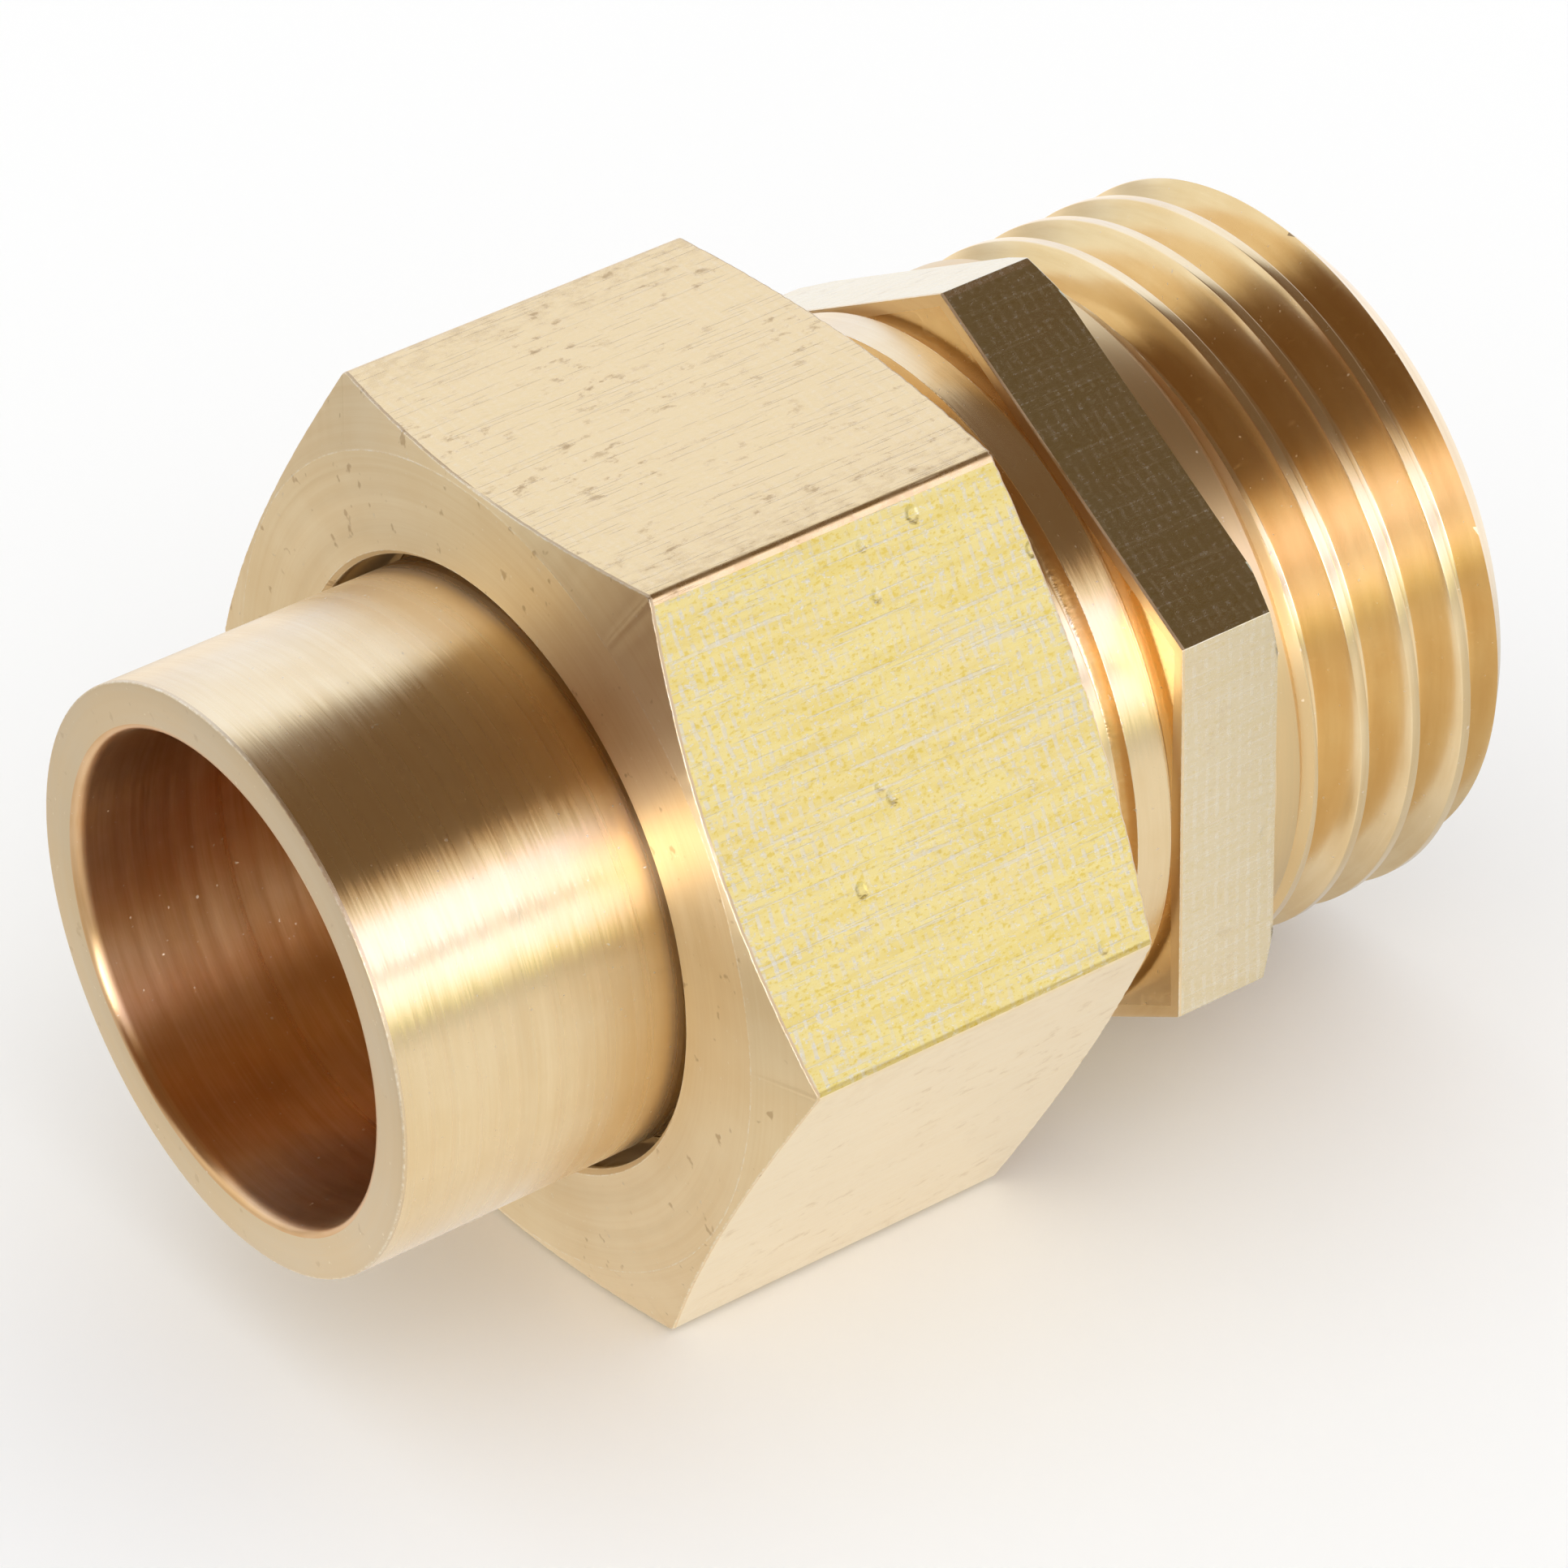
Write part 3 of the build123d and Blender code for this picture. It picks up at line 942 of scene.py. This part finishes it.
def runout(x):
    """Radius that limits the shallow first groove behind the collar."""
    middle = (PLAIN_LAND + RUNOUT_X1) / 2
    half = (RUNOUT_X1 - PLAIN_LAND) / 2
    return CREST_R - RUNOUT_DEPTH * np.clip(1 - np.abs(x - middle) / half, 0, 1)


for x in np.linspace(PLAIN_LAND - 0.02, RUNOUT_X1, 24):
    r = np.minimum(pipe_thread.radius(np.full(body.n, x), body_angles), runout(x))
    body.rings([(x, r, 0.0)], 4)
body.thread(
    pipe_thread,
    RUNOUT_X1,
    BODY_X1,
    lambda x: np.minimum(CREST_R, CREST_R - END_CHAMFER + BODY_X1 - x),
    2,
)
body.rings(
    rounded(
        [
            (BODY_X1, CREST_R - END_CHAMFER - BELOW_ROOT),
            (BODY_X1, WATERWAY_R + BORE_BREAK),
            (BODY_X1 - BORE_BREAK, WATERWAY_R),
            (BODY_X1 - 3, WATERWAY_R),
        ],
        [0, 0.04, 0.04, 0],
    ),
    1,
)
body.finish(
    "threaded_body_turned",
    [body_side, body_face, body_thread, collar_flat, body_runout],
    "threaded_body",
    "body_side",
    0,
)

# ---- floor ----------------------------------------------------------------------------------
FLOOR_HALF = 0.6
floor_mesh = bpy.data.meshes.new("floor")
floor_z = cad_box[0][2] - 0.03 * MM
floor_mesh.from_pydata(
    [
        (side_x * FLOOR_HALF, side_y * FLOOR_HALF, floor_z)
        for side_x, side_y in ((-1, -1), (1, -1), (1, 1), (-1, 1))
    ],
    [],
    [(0, 1, 2, 3)],
)
floor = bpy.data.objects.new("floor", floor_mesh)
bpy.context.scene.collection.objects.link(floor)
floor_material = bpy.data.materials.new("floor_paper")
floor_material.use_nodes = True
g = Graph(floor_material.node_tree)
paper = g.add("ShaderNodeBsdfPrincipled", {"Base Color": (0.95, 0.95, 0.945, 1), "Roughness": 0.9})
spot = g.add("ShaderNodeSeparateXYZ", {0: g.add("ShaderNodeNewGeometry").outputs["Position"]})
spot_x, spot_y = spot.outputs[:2]
# Painted light on the floor that the metal mirrors: a glow that only reflections see, with painted
# shade beneath the union and far out ahead and in front of it, and brighter far behind it.
ahead = g.math("MULTIPLY", spot_x, -1 / MM)
before = g.math("MULTIPLY", spot_y, -1 / MM)
behind = g.math("ADD", g.math("MULTIPLY", spot_x, 0.8 / MM), g.math("MULTIPLY", spot_y, 0.6 / MM))
glow_power = g.math(
    "MULTIPLY", g.ramp(ahead, 30.0, 50.0, 1.0, 0.45), g.ramp(before, 95.0, 150.0, 1.0, 0.55)
)
shade_under_light_behind = g.math("MULTIPLY", g.ramp(behind, -9.0, 0.0), g.ramp(behind, 14.0, 36.0, 1.0, -0.55))
dimmed = g.math("SUBTRACT", 1.0, g.math("MULTIPLY", shade_under_light_behind, 0.42))
glow_power = g.math("MULTIPLY", glow_power, dimmed)
# Painted light: the floor glows, but only in reflections.
glow = g.add("ShaderNodeEmission", {0: (0.97, 1.0, 1.08, 1), 1: glow_power}).outputs[0]
mirrored = g.add("ShaderNodeLightPath").outputs["Is Glossy Ray"]
share = g.math("MULTIPLY", mirrored, 0.65)
surface = g.add("ShaderNodeMixShader", {0: share, 1: paper.outputs[0], 2: glow}).outputs[0]
g.add("ShaderNodeOutputMaterial", {0: surface})
floor_mesh.materials.append(floor_material)

# ---- studio ---------------------------------------------------------------------------------
world = bpy.data.worlds.new("studio")
bpy.context.scene.world = world
world.use_nodes = True
world.cycles.sampling_method = "NONE"
g = Graph(world.node_tree)
way = g.add("ShaderNodeTexCoord").outputs["Generated"]
dx, dy, dz = g.add("ShaderNodeSeparateXYZ", {0: way}).outputs
turn = g.math("ARCTAN2", dz, dy)
turn = g.math("MULTIPLY", turn, 180 / math.pi)
turn = g.math("FRACT", g.math("DIVIDE", g.math("ADD", turn, 450), 360))


def around(degrees):
    """Place on the colour band of a direction, by its angle round the pipe axis."""
    return (degrees + 90) / 360


side_band = g.colours(
    turn,
    [
        (0.0, (0.90, 0.92, 0.96)),
        (around(-12), (1.0, 1.12, 1.5)),
        (around(52), (1.12, 1.28, 1.7)),
        (around(59), (0.95, 1.0, 1.1)),
        (around(63), (0.17, 0.115, 0.075)),
        (around(126), (0.16, 0.11, 0.07)),
        (around(130), (0.53, 0.39, 0.26)),
        (around(138), (1.15, 1.15, 1.15)),
        (around(143), (1.7, 1.72, 2.5)),
        (around(157), (1.7, 1.72, 2.5)),
        (around(159), (0.62, 0.72, 0.90)),
        (around(161.5), (0.62, 0.72, 0.90)),
        (around(163.5), (1.6, 1.65, 2.3)),
        (around(171), (1.6, 1.65, 2.2)),
        (around(176), (1.35, 1.45, 1.1)),
        (around(180), (0.80, 0.80, 0.55)),
        (around(183), (0.9, 0.96, 1.0)),
        (1.0, (0.90, 0.92, 0.96)),
    ],
)
front_band = g.colours(
    turn,
    [
        (0.0, (0.85, 0.88, 0.92)),
        (around(-12), (0.95, 1.0, 1.0)),
        (around(50), (1.15, 1.2, 1.3)),
        (around(63), (0.20, 0.10, 0.04)),
        (around(147), (0.20, 0.10, 0.04)),
        (around(153), (5.5, 5.8, 6.5)),
        (around(172), (5.5, 5.8, 6.5)),
        (around(180), (0.3, 0.26, 0.2)),
        (around(200), (0.5, 0.46, 0.4)),
        (1.0, (0.85, 0.88, 0.92)),
    ],
)
seen = g.mix(g.ramp(dx, -0.55, -0.25), front_band, side_band)
seen = g.mix(g.ramp(dx, -0.96, -0.90), (0.20, 0.085, 0.03, 1), seen)
path = g.add("ShaderNodeLightPath")
soft = g.mix(path.outputs["Is Glossy Ray"], (1, 1, 1, 1), seen)
light = g.mix(path.outputs["Is Camera Ray"], soft, (1, 1, 1, 1))
back = g.add("ShaderNodeBackground", {0: light, 1: 1.0})
g.add("ShaderNodeOutputWorld", {0: back.outputs[0]})


def facing(place, aim, roll=0.0):
    """A matrix at place that looks at aim, turned by roll degrees about that line."""
    back = np.array(place, float) - np.array(aim, float)
    back /= np.linalg.norm(back)
    side = np.cross((0, 0, 1), back)
    side /= np.linalg.norm(side)
    up = np.cross(back, side)
    cos, sin = math.cos(math.radians(roll)), math.sin(math.radians(roll))
    side, up = side * cos + up * sin, up * cos - side * sin
    return Matrix([(side[i], up[i], back[i], place[i]) for i in range(3)] + [(0, 0, 0, 1)])


def soft_box(name, place, aim, size, power):
    """A large soft lamp that the metal doesn't mirror."""
    lamp = bpy.data.lights.new(name, "AREA")
    lamp.shape = "DISK"
    lamp.size = size
    lamp.energy = power
    holder = bpy.data.objects.new(name, lamp)
    bpy.context.scene.collection.objects.link(holder)
    holder.matrix_world = facing(place, aim)
    holder.visible_glossy = False


soft_box("key_soft_box", (-0.1, -0.35, 0.45), (-0.009, 0, 0), 0.35, 0.35)

# ---- camera ---------------------------------------------------------------------------------
CAMERA_PLACE = (-122.17, -155.87, 133.34)
CAMERA_AIM = (-11.102, -3.095, 1.052)
CAMERA_ROLL = -1.25
SENSOR_WIDTH = 36.0
FOCAL_LENGTH = 195.816

lens = bpy.data.cameras.new("camera")
lens.sensor_width = SENSOR_WIDTH
lens.lens = FOCAL_LENGTH
lens.clip_start = 0.01
lens.clip_end = 5.0
camera = bpy.data.objects.new("camera", lens)
bpy.context.scene.collection.objects.link(camera)
camera.matrix_world = facing(
    [v * MM for v in CAMERA_PLACE], [v * MM for v in CAMERA_AIM], CAMERA_ROLL
)
bpy.context.scene.camera = camera
bpy.context.scene.view_settings.view_transform = "Standard"

bpy.context.view_layer.update()
